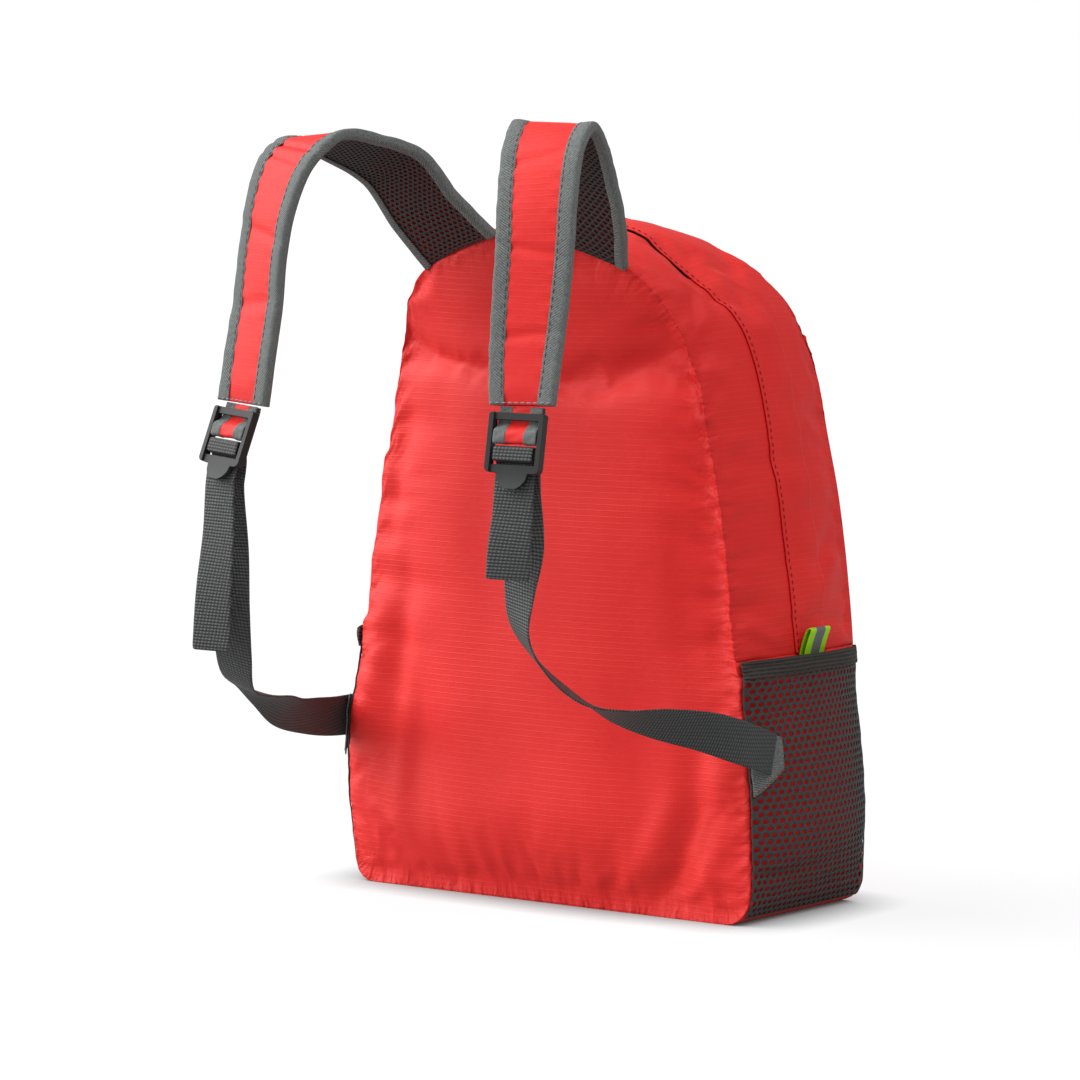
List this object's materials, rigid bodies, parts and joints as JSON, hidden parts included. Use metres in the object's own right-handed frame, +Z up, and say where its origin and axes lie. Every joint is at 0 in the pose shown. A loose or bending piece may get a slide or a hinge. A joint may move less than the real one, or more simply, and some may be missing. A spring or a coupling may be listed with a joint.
{
  "type": "packable backpack",
  "caption": "Light red ripstop packable backpack standing on its base, with padded mesh straps, ladder-lock buckles, net side pockets and a zipped front pocket.",
  "frame": {"origin": "middle of the flat base, on the floor that the bag stands on", "axes": "+Z up, -Y towards the wearer's back and the shoulder straps, +X to the right as seen from the wearer's side"},
  "size_m": [0.3256, 0.3178, 0.457],
  "materials": {
    "red_ripstop": "satin",
    "dark_binding": "matte",
    "dark_webbing": "matte",
    "dark_net": "matte",
    "dark_elastic": "matte",
    "zip_tape": "matte",
    "dark_plastic": "satin",
    "neon_tape": "matte"
  },
  "bodies": {
    "root": {"back_panel": "red_ripstop", "front_panel": "red_ripstop", "base_panel": "red_ripstop", "side_panel_left": "red_ripstop", "side_panel_right": "red_ripstop", "rear_gusset": "red_ripstop", "main_zip": "zip_tape", "front_gusset": "red_ripstop", "zip_flap": "red_ripstop", "mesh_pocket_left": "dark_net", "pocket_elastic_left": "dark_elastic", "mesh_pocket_right": "dark_net", "pocket_elastic_right": "dark_elastic", "loop_tag": "neon_tape", "front_pocket": "red_ripstop", "front_pocket_zip": "zip_tape", "front_zip_slider": "dark_plastic", "strap_cover_left": "red_ripstop", "strap_mesh_left": "dark_net", "strap_binding_inner_left": "dark_binding", "strap_binding_outer_left": "dark_binding", "strap_end_loop_left": "red_ripstop", "buckle_left": "dark_plastic", "webbing_left": "dark_webbing", "strap_tab_left": "dark_webbing", "strap_cover_right": "red_ripstop", "strap_mesh_right": "dark_net", "strap_binding_inner_right": "dark_binding", "strap_binding_outer_right": "dark_binding", "strap_end_loop_right": "red_ripstop", "buckle_right": "dark_plastic", "webbing_right": "dark_webbing", "strap_tab_right": "dark_webbing"}
  },
  "joints": []
}
